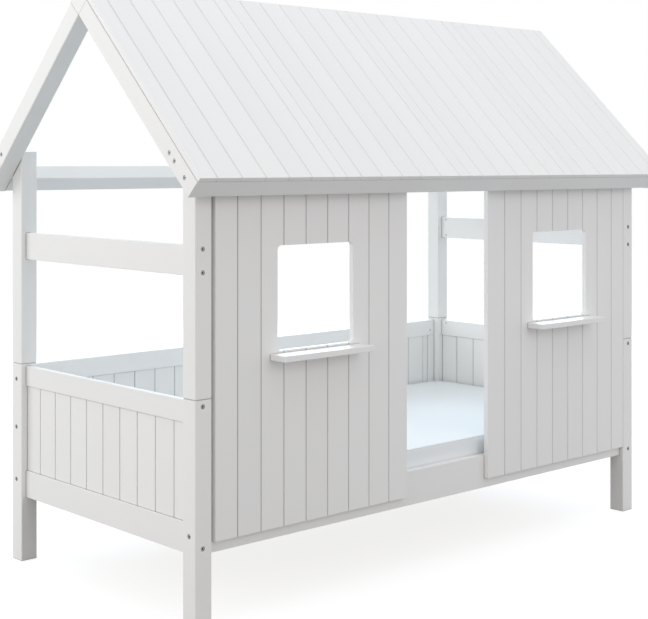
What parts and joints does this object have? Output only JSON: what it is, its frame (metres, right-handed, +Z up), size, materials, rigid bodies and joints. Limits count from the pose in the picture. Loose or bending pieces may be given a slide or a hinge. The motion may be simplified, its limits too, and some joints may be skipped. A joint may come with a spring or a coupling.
{
  "type": "house frame bed",
  "caption": "Child's bed in a house frame: corner posts, boarded ends, rear panel and front walls with windows and a doorway, and a pitched roof boarded on its front slope.",
  "frame": {"origin": "on the floor, below the middle of the overall box", "axes": "+X along the bed to the right seen from the doorway side, +Y to the rear, +Z up"},
  "size_m": [2.194, 1.1672, 1.8315],
  "materials": {
    "painted_wood": "satin white paint",
    "bare_wood": "plain softwood",
    "zinc_steel": "zinc plated",
    "mattress_cover": "woven cotton cover"
  },
  "bodies": {
    "root": {"post_lower_front_left": "painted_wood", "post_lower_front_right": "painted_wood", "post_lower_rear_left": "painted_wood", "post_lower_rear_right": "painted_wood", "post_upper_front_left": "painted_wood", "post_upper_front_right": "painted_wood", "post_upper_rear_left": "painted_wood", "post_upper_rear_right": "painted_wood", "end_bottom_rail_left": "painted_wood", "end_bottom_rail_right": "painted_wood", "end_top_rail_left": "painted_wood", "end_top_rail_right": "painted_wood", "end_cross_rail_left": "painted_wood", "end_cross_rail_right": "painted_wood", "end_boards_left": "painted_wood", "end_boards_right": "painted_wood", "rear_bottom_rail": "painted_wood", "rear_top_rail": "painted_wood", "rear_stiles": "painted_wood", "rear_boards": "painted_wood", "front_rail": "painted_wood", "wall_boards_left": "painted_wood", "wall_boards_right": "painted_wood", "window_sill_left": "painted_wood", "window_sill_right": "painted_wood", "ridge_beam": "painted_wood", "eave_beam_front": "painted_wood", "eave_beam_rear": "painted_wood", "rafter_front_left": "painted_wood", "rafter_front_right": "painted_wood", "rafter_rear_left": "painted_wood", "rafter_rear_right": "painted_wood", "roof_panel_1": "painted_wood", "roof_panel_2": "painted_wood", "roof_panel_3": "painted_wood", "roof_panel_4": "painted_wood", "wall_battens_left": "painted_wood", "wall_battens_right": "painted_wood", "roof_battens": "painted_wood", "slats": "bare_wood", "slat_cleat_front": "bare_wood", "slat_cleat_rear": "bare_wood", "post_dowels": "bare_wood", "rail_dowels": "bare_wood", "rail_bolts": "zinc_steel", "stile_bolts": "zinc_steel", "rafter_bolts": "zinc_steel", "ridge_bolts": "zinc_steel", "barrel_nuts": "zinc_steel", "threaded_inserts": "zinc_steel", "cleat_screws": "zinc_steel", "slat_screws": "zinc_steel", "wall_screws": "zinc_steel", "front_rail_screws": "zinc_steel", "sill_screws": "zinc_steel", "bracket_screws": "zinc_steel", "wall_brackets": "zinc_steel", "roof_board_screws": "zinc_steel", "roof_fixing_screws": "zinc_steel", "mattress": "mattress_cover"}
  },
  "joints": []
}
